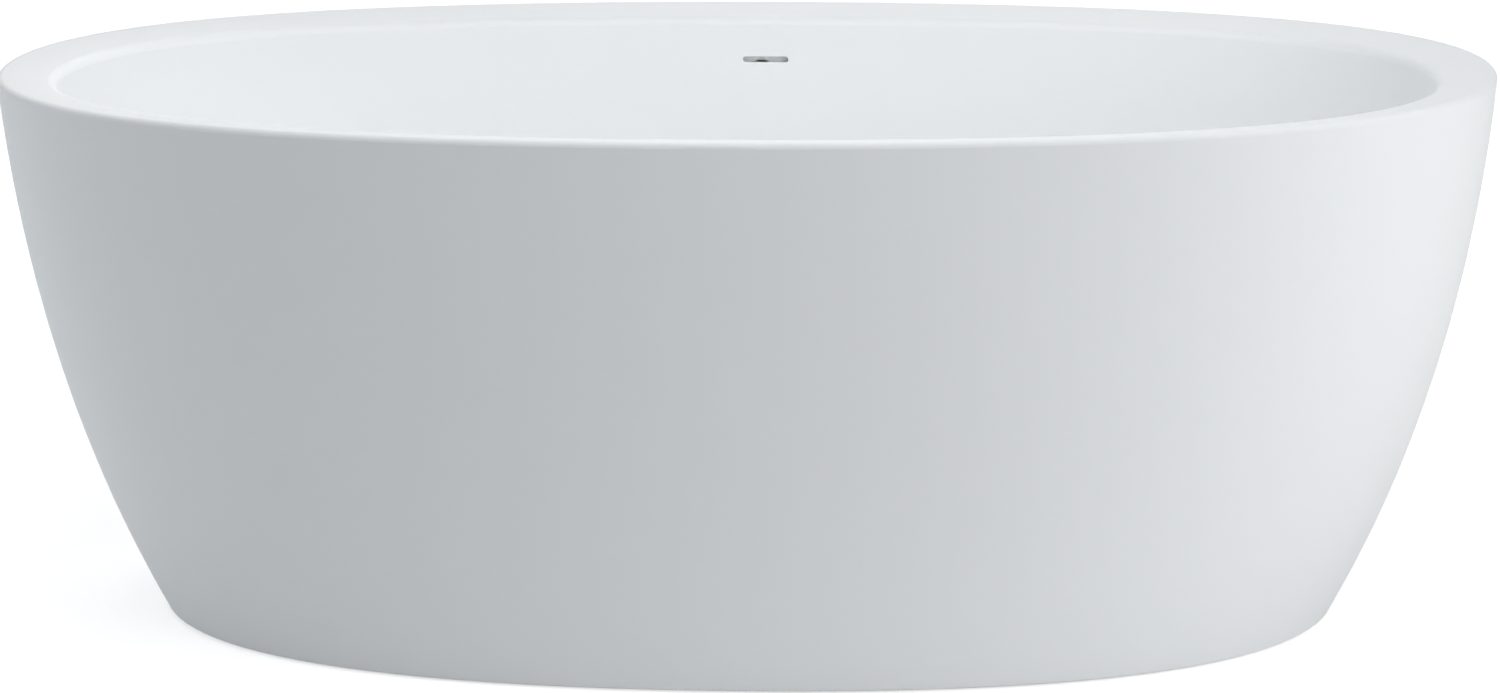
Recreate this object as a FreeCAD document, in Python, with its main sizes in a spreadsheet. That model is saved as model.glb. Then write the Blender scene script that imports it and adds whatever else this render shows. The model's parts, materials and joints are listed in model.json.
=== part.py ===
import FreeCAD, Part

import math
import os
import re

import Sketcher
from FreeCAD import Placement, Rotation, Vector

# A freestanding oval bath on four levelling feet, in millimetres.
# +X runs along the bath, +Y towards the long side with the overflow slot, +Z up.
# The origin is on the floor, under the middle of the bath.

# Driving sizes.  Lengths and widths of ovals are full sizes; levels are heights above the floor.
SIZES = [
    # whole bath
    ("bath_length", 1600),
    ("bath_width", 800),
    ("bath_height", 580),
    ("plan_fullness", 0.938),  # weight of each quarter of an oval: 0.707 is an ellipse
    # outer skirt
    ("base_end_taper", 164),
    ("base_side_taper", 25),
    ("wall_bulge", 0.82),  # how far out the wall's middle control ring stands
    ("bulge_share", 0.43),  # how far up that ring stands: equal shares make a straight wall
    ("skirt_wall", 10),
    ("floor_gap", 2),
    ("base_chamfer", 1),
    # rim
    ("rim_width", 62),
    ("rim_fall", 8.6),
    ("rim_edge_radius", 7),
    ("rim_inner_radius", 8),
    ("rim_lip", 22),
    # basin
    ("basin_wall", 10),
    ("mid_end_inset", 16),  # insets are measured in from the rim's inner edge
    ("mid_side_inset", 6),
    ("mid_level", 300),
    ("low_end_inset", 148),
    ("low_side_inset", 53),
    ("low_level", 215),
    ("flat_end_inset", 358),
    ("flat_side_inset", 168),
    ("floor_level", 150),
    ("floor_dish", 4),
    ("drain_land", 90),
    # overflow
    ("slot_length", 52),
    ("slot_height", 7),
    ("slot_drop", 56),
    ("slot_offset", 0),
    ("chamber_length", 84),
    ("chamber_above", 12),
    ("chamber_below", 38),
    ("chamber_depth", 3.5),
    ("pocket_depth", 8),  # measured in from the wall's back at the rim
    ("chamber_wall", 2),
    ("well_width", 32),
    ("well_depth", 34.5),
    ("well_offset", -5),
    ("well_drop", 17.5),
    ("spigot_bore", 21),
    ("spigot_inset", 11),
    ("spigot_wall", 2),
    ("spigot_length", 46),
    # hose
    ("hose_wall", 2.3),
    ("hose_gap", 0.2),
    ("hose_grip", 24),
    ("hose_first_run", 54.5),
    ("hose_skirt_inset", 24),
    ("hose_lean_radius", 400),
    ("hose_bend_radius", 105),
    ("clip_width", 9),
    ("clip_thickness", 1),
    ("clip_box", 8),
    # waste
    ("drain_hole", 52),
    ("flange_width", 70),
    ("flange_thickness", 3),
    ("flange_seal_thickness", 1),
    ("flange_gap", 0.3),
    ("dish_width", 66),
    ("dish_depth", 1.6),
    ("throat_lip", 2),
    ("tail_width", 48),
    ("tail_wall", 1.8),
    ("tail_length", 31),
    ("cross_bar", 3),
    ("cross_height", 5),
    ("cross_drop", 23),
    ("boss_width", 15),
    ("body_seal_thickness", 3),
    ("body_seal_width", 76),
    ("collar_width", 80),
    ("collar_thickness", 5),
    ("body_width", 58),
    ("body_length", 59),
    ("thread_gap", 0.1),
    ("branch_drop", 37),
    ("branch_reach", 76),
    ("tube_width", 40),
    ("tube_wall", 3),
    ("spout_length", 18),
    # plug
    ("cap_width", 64),
    ("cap_edge", 3),
    ("cap_crown", 1.6),
    ("cap_gap", 0.6),
    ("cap_boss_width", 14),
    ("cap_boss_length", 4.6),
    ("cap_seal_width", 58),
    ("cap_seal_bore", 48),
    ("stem_width", 6),
    ("stem_length", 32),
    ("stem_screw_in", 6),
    ("sleeve_width", 14),
    ("sleeve_screw", 10),
    ("sleeve_height", 15),
    # trap
    ("trap_width", 96),
    ("trap_top", 49),
    ("trap_bottom", 7),
    ("trap_wall", 2.5),
    ("dip_level", 18),
    ("weir_width", 64),
    ("weir_level", 42.5),
    ("union_seal_thickness", 2),
    ("union_nut_width", 56),
    ("union_nut_height", 18),
    ("outlet_level", 32),
    ("outlet_socket_reach", 78),
    ("outlet_socket_wall", 2.3),
    ("outlet_reach", 235),
    ("outlet_wall", 1.8),
    ("outlet_insert", 26),
    ("outlet_seal_width", 8),
    ("outlet_nut_cover", 12),
    ("outlet_nut_lip", 3),
    # support
    ("board_thickness", 15),
    ("board_margin", 10),
    ("board_hole", 96),
    ("rail_inset", 100),
    ("rail_length", 560),
    ("rail_width", 40),
    ("rail_height", 25),
    ("rail_wall", 2.5),
    ("foot_inset", 30),
    ("stud_width", 12),
    ("stud_top", 152),
    ("stud_socket", 8),
    ("stud_hex", 17),
    ("stud_hex_height", 8),
    ("stud_hex_level", 22),
    ("nut_size", 19),
    ("nut_height", 10),
    ("pad_width", 60),
    ("pad_edge", 5),
    ("pad_height", 18),
    ("pad_neck", 28),
    ("screw_width", 4.4),
    ("screw_gap", 0.1),
    ("screw_head", 9),
    ("screw_head_height", 2.6),
    ("screw_bite", 11),
    ("screw_pitch", 70),
]

# Levels and widths worked out from the driving sizes.
WORKED_OUT = [
    ("base_length", "bath_length - 2 * base_end_taper"),
    ("base_width", "bath_width - 2 * base_side_taper"),
    ("seam_level", "bath_height - rim_lip"),
    ("inner_length", "bath_length - 2 * rim_width"),
    ("inner_width", "bath_width - 2 * rim_width"),
    ("mid_length", "inner_length - 2 * mid_end_inset"),
    ("mid_width", "inner_width - 2 * mid_side_inset"),
    ("low_length", "inner_length - 2 * low_end_inset"),
    ("low_width", "inner_width - 2 * low_side_inset"),
    ("flat_length", "inner_length - 2 * flat_end_inset"),
    ("flat_width", "inner_width - 2 * flat_side_inset"),
    ("drain_level", "floor_level - floor_dish"),
    ("under_level", "drain_level - basin_wall"),
    ("slot_level", "bath_height - slot_drop"),
    ("pocket_face", "inner_width / 2 + basin_wall - pocket_depth"),
    ("chamber_back", "pocket_face + chamber_depth"),
    ("spigot_y", "chamber_back + well_depth - spigot_inset"),
    ("well_x", "slot_offset + well_offset"),
    ("well_level", "slot_level - well_drop"),
    ("spigot_width", "spigot_bore + 2 * spigot_wall"),
    ("spigot_end", "well_level - spigot_length"),
    ("hose_bore", "spigot_width + 2 * hose_gap"),
    ("hose_width", "hose_bore + 2 * hose_wall"),
    ("hose_top", "spigot_end + hose_grip"),
    ("recess_level", "drain_level - flange_thickness - flange_seal_thickness"),
    ("flange_under", "drain_level - flange_thickness"),
    ("throat_width", "tail_width - 2 * tail_wall"),
    ("cross_level", "drain_level - cross_drop"),
    ("collar_level", "under_level - body_seal_thickness"),
    ("body_bottom", "collar_level - body_length"),
    ("branch_level", "collar_level - branch_drop"),
    ("spout_bottom", "body_bottom - spout_length"),
    ("tube_bore", "tube_width - 2 * tube_wall"),
    ("cap_under", "drain_level + cap_gap"),
    ("stem_top", "cap_under - cap_boss_length + stem_screw_in"),
    ("trap_mouth", "spout_bottom - union_seal_thickness"),
    ("socket_bore", "tube_width + 4 * thread_gap"),
    ("socket_width", "socket_bore + 2 * outlet_socket_wall"),
    ("outlet_inner_end", "outlet_socket_reach - outlet_insert"),
    ("board_under", "under_level - board_thickness"),
    ("rail_under", "board_under - rail_height"),
    ("web_under", "board_under - rail_wall"),
    ("rail_x", "flat_length / 2 - rail_inset"),
    ("foot_y", "rail_length / 2 - foot_inset"),
]

doc = FreeCAD.newDocument("freestanding_bath")
sheet = doc.addObject("Spreadsheet::Sheet", "Sizes")


def fill_sheet():
    """Write the driving sizes and the sizes worked out from them into the sheet."""
    rows = [(name, str(value)) for name, value in SIZES]
    rows += [(name, "=" + formula) for name, formula in WORKED_OUT]
    for row, (name, text) in enumerate(rows, start=1):
        sheet.set("A%d" % row, name)
        sheet.set("B%d" % row, text)
        sheet.setAlias("B%d" % row, name)
    doc.recompute()


def size(name):
    """The value of one cell of the sheet."""
    return float(getattr(sheet, name))


def sized(text):
    """The same expression with every size name pointing into the sheet."""
    return re.sub(r"[a-z][a-z_]+", lambda word: "Sizes." + word.group(0), text)


def bind(thing, **expressions):
    """Bind properties of an object to expressions of the sheet's sizes."""
    for prop, text in expressions.items():
        thing.setExpression(prop, sized(text))


def move(thing, x="0", y="0", z="0"):
    """Bind an object's position to expressions of the sheet's sizes."""
    for axis, text in (("x", x), ("y", y), ("z", z)):
        thing.setExpression("Placement.Base." + axis, sized(text))


ALONG = {
    "x": Rotation(Vector(0, 1, 0), 90),
    "y": Rotation(Vector(1, 0, 0), -90),
    "z": Rotation(),
}


def cylinder(name, width, height, along="z", **at):
    """A cylinder of the given diameter and length, running along an axis from its position."""
    solid = doc.addObject("Part::Cylinder", name)
    bind(solid, Radius="(" + width + ") / 2", Height=height)
    solid.Placement = Placement(Vector(), ALONG[along])
    move(solid, **at)
    return solid


def box(name, length, width, height, **at):
    """A box whose position is its lowest corner."""
    solid = doc.addObject("Part::Box", name)
    bind(solid, Length=length, Width=width, Height=height)
    move(solid, **at)
    return solid


def hexagon(name, across_flats, height, **at):
    """A hexagonal prism measured across its flats, standing on its position."""
    solid = doc.addObject("Part::Prism", name)
    solid.Polygon = 6
    bind(solid, Circumradius="(" + across_flats + ") / 3 ^ 0.5", Height=height)
    move(solid, **at)
    return solid


def fuse(name, *solids):
    """One solid from several."""
    result = doc.addObject("Part::MultiFuse", name)
    result.Shapes = list(solids)
    result.Refine = True
    return result


def cut(name, base, *tools):
    """A solid with one or more tools taken out of it."""
    result = doc.addObject("Part::Cut", name)
    result.Base = base
    result.Tool = tools[0] if len(tools) == 1 else fuse(name + "_tools", *tools)
    return result


def group(name, solids):
    """Separate identical solids kept together under one name."""
    result = doc.addObject("Part::Compound", name)
    result.Links = solids
    return result


def plane_of(body, role):
    """One of a body's own origin planes."""
    return next(item for item in body.Origin.OriginFeatures if item.Role == role)


def turned(name, corners, along="z", **at):
    """A body turned about its axis from (radius, height) corners."""
    body = doc.addObject("PartDesign::Body", name)
    sketch = body.newObject("Sketcher::SketchObject", name + "_profile")
    sketch.AttachmentSupport = [(plane_of(body, "XZ_Plane"), "")]
    sketch.MapMode = "FlatFace"
    count = len(corners)
    for index in range(count):
        start = Vector(index + 1, index * index, 0)
        end = Vector(index + 2, (index + 1) * (index + 1), 0)
        if index == count - 1:
            end = Vector(1, 0, 0)
        sketch.addGeometry(Part.LineSegment(start, end), False)
    for index in range(count):
        sketch.addConstraint(Sketcher.Constraint("Coincident", index, 2, (index + 1) % count, 1))
    for index, (radius, height) in enumerate(corners):
        for kind, text, guess in (("DistanceX", radius, index + 1), ("DistanceY", height, index * index)):
            number = sketch.addConstraint(Sketcher.Constraint(kind, -1, 1, index, 1, float(guess)))
            sketch.setExpression("Constraints[%d]" % number, sized(text))
    turn = body.newObject("PartDesign::Revolution", name + "_turn")
    turn.Profile = sketch
    turn.ReferenceAxis = (sketch, ["V_Axis"])
    turn.Angle = 360
    body.Placement = Placement(Vector(), ALONG[along])
    move(body, **at)
    return body


class Ring:
    """A level oval: half length, half width, height and the weight of its quarters."""

    def __init__(self, half_length, half_width, height, weight):
        self.values = (half_length, half_width, height, weight)

    def towards(self, other, share):
        """The oval that lies a share of the way to another."""
        pairs = zip(self.values, other.values)
        return Ring(*(mine + (theirs - mine) * share for mine, theirs in pairs))

    def at_height(self, other, height):
        """The oval at a height on the straight line to another."""
        return self.towards(other, (height - self.values[2]) / (other.values[2] - self.values[2]))

    def grown(self, along, across, up):
        """The oval made larger by a length, a width and a height."""
        half_length, half_width, height, weight = self.values
        return Ring(half_length + along, half_width + across, height + up, weight)

    def quarters(self):
        """The control points and weights of its four quarters, anticlockwise from +X."""
        length, width, height, weight = self.values
        sides = [(length, 0), (0, width), (-length, 0), (0, -width)]
        result = []
        for index in range(4):
            start = Vector(*sides[index], height)
            end = Vector(*sides[(index + 1) % 4], height)
            corner = Vector(start.x + end.x, start.y + end.y, height)
            result.append([(start, 1.0), (corner, weight), (end, 1.0)])
        return result


def band(rings, bend=1.0):
    """Four patches through two ovals, or curved from the first to the third by the middle one.

    bend is the weight of the middle oval: the cosine of half the turn makes a round arc.
    """
    faces = []
    for columns in zip(*(ring.quarters() for ring in rings)):
        surface = Part.BezierSurface()
        surface.increase(2, len(rings) - 1)
        for row, column in enumerate(columns, start=1):
            pull = bend if len(rings) == 3 and row == 2 else 1.0
            for place, (pole, weight) in enumerate(column, start=1):
                surface.setPole(place, row, pole, weight * pull)
        faces.append(surface.toShape())
    return faces


def point_on(rings, bend, share):
    """The oval at a share of the way along a curved band."""
    start, middle, end = rings
    weights = [(1 - share) ** 2, 2 * bend * share * (1 - share), share**2]
    total = sum(weights)
    parts = zip(start.values, middle.values, end.values)
    return Ring(*(sum(w * v for w, v in zip(weights, values)) / total for values in parts))


def strips(rings, bend=1.0, count=6):
    """A curved band in straight strips, for sides that stay hidden."""
    ovals = [point_on(rings, bend, step / count) for step in range(count + 1)]
    faces = []
    for low, high in zip(ovals, ovals[1:]):
        faces += band([low, high])
    return faces


def outline(ring):
    """The oval as a closed wire."""
    edges = []
    for quarter in ring.quarters():
        curve = Part.BezierCurve()
        curve.setPoles([pole for pole, weight in quarter])
        curve.setWeight(2, quarter[1][1])
        edges.append(curve.toShape())
    return Part.Wire(edges)


def flat(outer, inner=None):
    """A level face inside an oval, or between two."""
    wires = [outline(outer)]
    if inner is not None:
        wires.append(outline(inner).reversed())
    return [Part.Face(wires)]


def split(rings, share):
    """The two curved bands that one makes when it is divided at a share of its height."""
    first = rings[0].towards(rings[1], share)
    second = rings[1].towards(rings[2], share)
    middle = first.towards(second, share)
    return [rings[0], first, middle], [middle, second, rings[2]]


def closed(faces):
    """The solid inside a closed set of faces."""
    shell = Part.makeShell(faces)
    shell.sewShape()
    solid = Part.Solid(shell)
    if solid.Volume < 0:
        solid.reverse()
    return solid


def keep_shape(name, shape):
    """Put a shape made by code into the document under its own name."""
    feature = doc.addObject("Part::Feature", name)
    feature.Shape = shape
    feature.Placement = Placement()
    return feature


ROUND = 0.70710678  # the weight that makes a quarter of an oval with equal sides a true circle


def half_size_ring(length, width, height):
    """An oval from full sizes, with the bath's own fullness."""
    return Ring(length / 2, width / 2, height, size("plan_fullness"))


def rim_rise():
    """How far the rim's slope, drawn out to the wall, stands above the rounded edge."""
    slope = size("rim_fall") / size("rim_width")
    return size("rim_edge_radius") * ((1 + slope * slope) ** 0.5 + slope - 1)


def outer_wall():
    """The three ovals that shape the whole outer wall, from the base to the rim's edge."""
    top_level = size("bath_height") + rim_rise() - size("rim_edge_radius")
    base = half_size_ring(size("base_length"), size("base_width"), size("floor_gap"))
    top = half_size_ring(size("bath_length"), size("bath_width"), top_level)
    bulged = base.towards(top, size("wall_bulge"))
    level = size("floor_gap") + size("bulge_share") * (top_level - size("floor_gap"))
    middle = Ring(*bulged.values[:2], level, size("plan_fullness"))
    return [base, middle, top]


def share_at(rings, height):
    """The share of the way up a curved wall at which a level lies."""
    bottom, middle, top = (ring.values[2] for ring in rings)
    climb = middle - bottom
    change = bottom - 2 * middle + top
    return (height - bottom) / (climb + (climb**2 + change * (height - bottom)) ** 0.5)


def make_skirt():
    """The outer wall below the rim: a bulging shell with its base edge chamfered."""
    wall = outer_wall()
    edge = size("base_chamfer")
    thickness = size("skirt_wall")
    inside = [ring.grown(-thickness, -thickness, 0) for ring in wall]
    below_seam = split(wall, share_at(wall, size("seam_level")))[0]
    inside = split(inside, share_at(inside, size("seam_level")))[0]
    edge_share = share_at(below_seam, size("floor_gap") + edge)
    above_edge = split(below_seam, edge_share)[1]
    base = wall[0].grown(-edge, -edge, 0)
    faces = band([base, above_edge[0]])
    faces += band(above_edge)
    faces += flat(above_edge[2], inside[2])
    faces += strips(inside)
    faces += flat(base, inside[0])
    return closed(faces)


FLOOR_BEND = 0.9  # weight of the wide curve between the basin's wall and its floor

# Where the wall turns into the floor, the hidden outside lies these shares of the wall's
# thickness further along, further across and higher.
LOW_SHARES = (0.6, 0.9, -0.7)


def basin_inside():
    """The ovals down the inside of the basin, from the rim's inner edge to the floor."""
    edge_level = size("bath_height") - size("rim_fall")
    corner = half_size_ring(size("inner_length"), size("inner_width"), edge_level)
    middle = half_size_ring(size("mid_length"), size("mid_width"), size("mid_level"))
    low = half_size_ring(size("low_length"), size("low_width"), size("low_level"))
    knee = middle.at_height(low, size("floor_level"))
    flat_edge = half_size_ring(size("flat_length"), size("flat_width"), size("floor_level"))
    return corner, middle, low, knee, flat_edge


def basin_outside():
    """The ovals down the hidden outside of the basin, a wall further out."""
    corner, middle, low, knee, flat_edge = basin_inside()
    wall = size("basin_wall")
    top = corner.grown(wall, wall, size("seam_level") - corner.values[2])
    middle = middle.grown(wall, wall, 0)
    low = low.grown(*(share * wall for share in LOW_SHARES))
    knee = middle.at_height(low, size("under_level"))
    flat_edge = flat_edge.grown(wall, wall, size("under_level") - size("floor_level"))
    return top, middle, low, knee, flat_edge


def basin_shell():
    """The basin before its holes: rim, inner wall, dished floor and the hidden outside."""
    wall = outer_wall()
    lip = split(wall, share_at(wall, size("seam_level")))[1]
    corner, middle, low, knee, flat_edge = basin_inside()
    rim_corner = wall[1].at_height(wall[2], size("bath_height") + rim_rise())
    edge_share = size("rim_edge_radius") / size("rim_width")
    inner_share = size("rim_inner_radius") / size("rim_width")
    rim_start = rim_corner.towards(corner, edge_share)
    rim_end = corner.towards(rim_corner, inner_share)
    wall_start = corner.at_height(middle, corner.values[2] - size("rim_inner_radius"))
    land = Ring(size("drain_land") / 2, size("drain_land") / 2, size("drain_level"), ROUND)
    dish = flat_edge.towards(land, 0.5)
    dish = Ring(*dish.values[:2], size("floor_level"), dish.values[3])
    faces = band(lip)
    faces += band([wall[2], rim_corner, rim_start], ROUND)
    faces += band([rim_start, rim_end])
    faces += band([rim_end, corner, wall_start], ROUND)
    faces += band([wall_start, middle, low])
    faces += band([low, knee, flat_edge], FLOOR_BEND)
    faces += band([flat_edge, dish, land])
    faces += flat(land)
    faces += flat(lip[0], basin_outside()[0])
    faces += basin_outside_faces()
    return closed(faces)


def basin_outside_faces():
    """The hidden outside of the basin, from the rim's underside to the flat floor."""
    top, middle, low, knee, under_edge = basin_outside()
    faces = strips([top, middle, low])
    faces += strips([low, knee, under_edge], FLOOR_BEND)
    return faces + flat(under_edge)


def make_basin():
    """The basin with its drain recess, drain hole, overflow slot and chamber pocket."""
    shell = keep_shape("basin_shell", basin_shell())
    recess = cylinder(
        "drain_recess", "flange_width + 2 * flange_gap", "floor_level", z="recess_level")
    hole = cylinder("drain_hole", "drain_hole", "floor_level")
    half_straight = "(slot_length - slot_height) / 2"
    reach = "bath_width / 2"
    slot = fuse(
        "overflow_slot",
        box("slot_middle", "slot_length - slot_height", reach, "slot_height",
            x="slot_offset - " + half_straight, z="slot_level - slot_height / 2"),
        cylinder("slot_left", "slot_height", reach, "y",
                 x="slot_offset - " + half_straight, z="slot_level"),
        cylinder("slot_right", "slot_height", reach, "y",
                 x="slot_offset + " + half_straight, z="slot_level"),
    )
    pocket = chamber_box("chamber_pocket", reach)
    return cut("basin", shell, recess, hole, slot, pocket)


def chamber_box(name, depth, margin="0"):
    """A block the size of the chamber's face, from the pocket's face outward."""
    return box(
        name, "chamber_length - 2 * " + margin, depth,
        "chamber_above + chamber_below - 2 * " + margin,
        x="slot_offset - chamber_length / 2 + " + margin, y="pocket_face",
        z="slot_level - chamber_below + " + margin)


def make_chamber():
    """The overflow chamber bonded in its pocket, with a round well and a hose spigot."""
    shell = fuse(
        "chamber_outside",
        chamber_box("chamber_block", "chamber_depth + chamber_wall"),
        cylinder("well_outside", "well_width + 2 * chamber_wall", "well_depth + chamber_wall", "y",
                 x="well_x", y="chamber_back", z="well_level"),
        cylinder("spigot_outside", "spigot_width", "spigot_length",
                 x="well_x", y="spigot_y", z="spigot_end"),
    )
    hollow = fuse(
        "chamber_inside",
        chamber_box("chamber_hollow", "chamber_depth", "chamber_wall"),
        cylinder("well_inside", "well_width", "well_depth", "y",
                 x="well_x", y="chamber_back", z="well_level"),
        cylinder("spigot_inside", "spigot_bore", "spigot_length",
                 x="well_x", y="spigot_y", z="spigot_end"),
    )
    return cut("overflow_chamber", shell, hollow)


def rounded_path(points, radii):
    """Straight runs between points, joined at each inner point by a tangent arc."""
    edges = []
    start = points[0]
    for index, radius in enumerate(radii, start=1):
        corner = points[index]
        back = (start - corner).normalize()
        ahead = (points[index + 1] - corner).normalize()
        half_angle = back.getAngle(ahead) / 2
        tangent = radius / math.tan(half_angle)
        middle = (back + ahead).normalize()
        centre = corner + middle * (radius / math.sin(half_angle))
        first = corner + back * tangent
        last = corner + ahead * tangent
        edges.append(Part.LineSegment(start, first).toShape())
        edges.append(Part.Arc(first, centre - middle * radius, last).toShape())
        start = last
    edges.append(Part.LineSegment(start, points[-1]).toShape())
    return Part.Wire(edges)


def round_section(path, width):
    """A circle across the start of a path."""
    start = path.Vertexes[0].Point
    ahead = path.Edges[0].tangentAt(path.Edges[0].FirstParameter)
    return Part.Wire([Part.makeCircle(width / 2, start, ahead)])


def pipe(path, width):
    """A solid rod of the given diameter along a path."""
    return path.makePipeShell([round_section(path, width)], True, False)


def hose_path():
    """The hose's centre line: down the hollow between the shells, then under the basin."""
    start = Vector(size("well_x"), size("spigot_y"), size("hose_top"))
    lean = start - Vector(0, 0, size("hose_first_run"))
    beside_skirt = size("base_width") / 2 - size("hose_skirt_inset")
    corner = Vector(0, beside_skirt, size("branch_level"))
    end = Vector(0, size("branch_reach") - size("hose_grip"), size("branch_level"))
    return rounded_path([start, lean, corner, end], [size("hose_lean_radius"), size("hose_bend_radius")])


def make_hose():
    """The overflow hose: a tube over the chamber's spigot and the waste body's branch."""
    path = hose_path()
    outside = pipe(path, size("hose_width"))
    inside = pipe(path, size("hose_bore"))
    hose = keep_shape("overflow_hose", outside.cut(inside))
    length = round(path.Length, 1)
    area = math.pi / 4 * (size("hose_width") ** 2 - size("hose_bore") ** 2)
    print("hose length", length, "volume share", round(hose.Shape.Volume / (area * path.Length), 4))
    return hose


def make_clip(name, along, **at):
    """A worm-drive clip around an end of the hose: a band and its screw housing."""
    outside = "hose_width + 2 * clip_thickness"
    band_outside = cylinder(name + "_outside", outside, "clip_width", along, **at)
    band_inside = cylinder(name + "_inside", "hose_width", "clip_width", along, **at)
    middle = {axis: at.get(axis, "0") for axis in "xyz"}
    half = "clip_box / 2"
    low = {
        "x": middle["x"] + " + hose_width / 2",
        "y": middle["y"] + (" - " + half if along == "z" else " + (clip_width - clip_box) / 2"),
        "z": middle["z"] + (" - " + half if along == "y" else " + (clip_width - clip_box) / 2"),
    }
    housing = box(name + "_housing", "clip_thickness + clip_box / 2", "clip_box", "clip_box", **low)
    return cut(name, fuse(name + "_solid", band_outside, housing), band_inside)


def make_clips():
    """The clips at the two ends of the hose."""
    upper = make_clip("upper_hose_clip", "z", x="well_x", y="spigot_y",
                      z="spigot_end + (hose_grip - clip_width) / 2")
    lower = make_clip("lower_hose_clip", "y",
                      y="branch_reach - (hose_grip + clip_width) / 2", z="branch_level")
    return [upper, lower]


def make_flange():
    """The waste flange: dished rim, threaded tail, and a cross that carries the plug's guide."""
    cup = turned("flange_cup", [
        ("throat_width / 2", "flange_under - tail_length"),
        ("tail_width / 2", "flange_under - tail_length"),
        ("tail_width / 2", "flange_under"),
        ("flange_width / 2", "flange_under"),
        ("flange_width / 2", "drain_level"),
        ("dish_width / 2", "drain_level"),
        ("tail_width / 2", "drain_level - dish_depth"),
        ("throat_width / 2", "drain_level - dish_depth - throat_lip"),
    ])
    bar = "tail_width - tail_wall"
    base = "cross_level - cross_height"
    cross = fuse(
        "flange_cross",
        box("cross_along", bar, "cross_bar", "cross_height",
            x="-(" + bar + ") / 2", y="-cross_bar / 2", z=base),
        box("cross_across", "cross_bar", bar, "cross_height",
            x="-cross_bar / 2", y="-(" + bar + ") / 2", z=base),
        cylinder("cross_boss", "boss_width", "cross_height", z=base),
    )
    bore = cylinder("cross_bore", "sleeve_screw + 2 * thread_gap", "cross_height", z=base)
    return cut("waste_flange", fuse("flange_solid", cup, cross), bore)


def make_seals():
    """The flat seals above and below the basin's floor, and in the trap's two unions."""
    rings = [
        ("flange_seal", "drain_hole / 2", "flange_width / 2", "recess_level", "flange_under"),
        ("body_seal", "drain_hole / 2", "body_seal_width / 2", "collar_level", "under_level"),
        ("union_seal", "tube_bore / 2", "tube_width / 2", "trap_mouth", "spout_bottom"),
    ]
    return [
        turned(name, [(inner, low), (outer, low), (outer, high), (inner, high)])
        for name, inner, outer, low, high in rings
    ]


def make_waste_body():
    """The waste body under the floor: collar, cup, spout and the overflow's branch."""
    bore = "tail_width / 2 + thread_gap"
    floor = "body_bottom + tube_wall"
    cup = turned("waste_cup", [
        ("tube_bore / 2", "spout_bottom"),
        ("tube_width / 2", "spout_bottom"),
        ("tube_width / 2", "body_bottom"),
        ("body_width / 2", "body_bottom"),
        ("body_width / 2", "collar_level - collar_thickness"),
        ("collar_width / 2", "collar_level - collar_thickness"),
        ("collar_width / 2", "collar_level"),
        (bore, "collar_level"),
        (bore, floor + " + tube_wall"),
        ("tube_bore / 2", floor),
    ])
    start = "tail_width / 2 + thread_gap"
    branch = cylinder("branch_outside", "spigot_width", "branch_reach - (" + start + ")", "y",
                      y=start, z="branch_level")
    bore = cylinder("branch_bore", "spigot_bore", "branch_reach", "y", z="branch_level")
    return cut("waste_body", fuse("waste_body_solid", cup, branch), bore)


def make_plug():
    """The pop-up plug: crowned cap, its seal, the stem, and the sleeve that guides the stem."""
    boss_end = "cap_under - cap_boss_length"
    stem = "stem_width / 2"
    cap = turned("plug_cap", [
        ("0", "stem_top"),
        (stem, "stem_top"),
        (stem, boss_end),
        ("cap_boss_width / 2", boss_end),
        ("cap_boss_width / 2", "cap_under"),
        ("cap_width / 2", "cap_under"),
        ("cap_width / 2", "cap_under + cap_edge - cap_crown"),
        ("cap_width / 2 - cap_crown", "cap_under + cap_edge"),
        ("0", "cap_under + cap_edge + cap_crown"),
    ])
    slope = "dish_depth / (dish_width / 2 - tail_width / 2)"
    dish = "drain_level - dish_depth + cap_gap / 2 + " + slope
    seal = turned("plug_seal", [
        ("cap_seal_bore / 2", dish + " * (cap_seal_bore / 2 - tail_width / 2)"),
        ("cap_seal_width / 2", dish + " * (cap_seal_width / 2 - tail_width / 2)"),
        ("cap_seal_width / 2", "cap_under"),
        ("cap_seal_bore / 2", "cap_under"),
    ])
    rod = cylinder("plug_stem", "stem_width", "stem_length", z="stem_top - stem_length")
    guide = stem + " + thread_gap"
    sleeve = turned("plug_sleeve", [
        (guide, "cross_level - cross_height"),
        ("sleeve_screw / 2", "cross_level - cross_height"),
        ("sleeve_screw / 2", "cross_level"),
        ("sleeve_width / 2", "cross_level"),
        ("sleeve_width / 2", "cross_level + sleeve_height"),
        (guide, "cross_level + sleeve_height"),
    ])
    return [cap, seal, rod, sleeve]


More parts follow.
